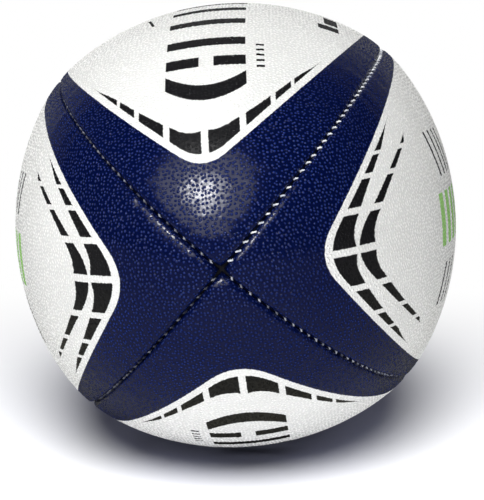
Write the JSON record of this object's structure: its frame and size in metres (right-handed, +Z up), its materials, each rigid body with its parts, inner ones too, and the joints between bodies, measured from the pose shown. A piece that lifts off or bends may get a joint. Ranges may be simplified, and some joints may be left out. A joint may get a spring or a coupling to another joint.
{
  "type": "rugby ball",
  "caption": "Oval stitched rugby ball with a pimpled rubber cover, inner bladder and removable valve core, for play, training and kicking.",
  "frame": {"origin": "centre of the ball, where the long axis crosses mid-length", "axes": "+Y along the long axis, +Z up with the ball lying on its side, +X to the right for someone facing along +Y"},
  "size_m": [0.1874, 0.2896, 0.1874],
  "materials": {
    "rubber_skin": "pimpled matte rubber, white with navy printed ends",
    "polycotton_ply": "woven polycotton with latex",
    "waxed_thread": "waxed polyester cord",
    "bladder_rubber": "smooth matte",
    "valve_rubber": "smooth satin",
    "valve_core_rubber": "smooth satin"
  },
  "bodies": {
    "ball": {"top_rubber_skin": "rubber_skin", "top_outer_ply": "polycotton_ply", "top_middle_ply": "polycotton_ply", "top_inner_ply": "polycotton_ply", "right_rubber_skin": "rubber_skin", "right_outer_ply": "polycotton_ply", "right_middle_ply": "polycotton_ply", "right_inner_ply": "polycotton_ply", "bottom_rubber_skin": "rubber_skin", "bottom_outer_ply": "polycotton_ply", "bottom_middle_ply": "polycotton_ply", "bottom_inner_ply": "polycotton_ply", "left_rubber_skin": "rubber_skin", "left_outer_ply": "polycotton_ply", "left_middle_ply": "polycotton_ply", "left_inner_ply": "polycotton_ply", "upper_right_seam_thread": "waxed_thread", "upper_left_seam_thread": "waxed_thread", "lower_left_seam_thread": "waxed_thread", "lower_right_seam_thread": "waxed_thread", "bladder": "bladder_rubber", "bladder_valve_patch": "bladder_rubber", "valve_body": "valve_rubber"},
    "valve_core": {"valve_core": "valve_core_rubber"}
  },
  "joints": [
    {"name": "valve_core_slide", "type": "slide", "parent": "ball", "child": "valve_core", "axis": [-0.9647, 0, 0.2632], "range_m": [0, 0.02]}
  ]
}
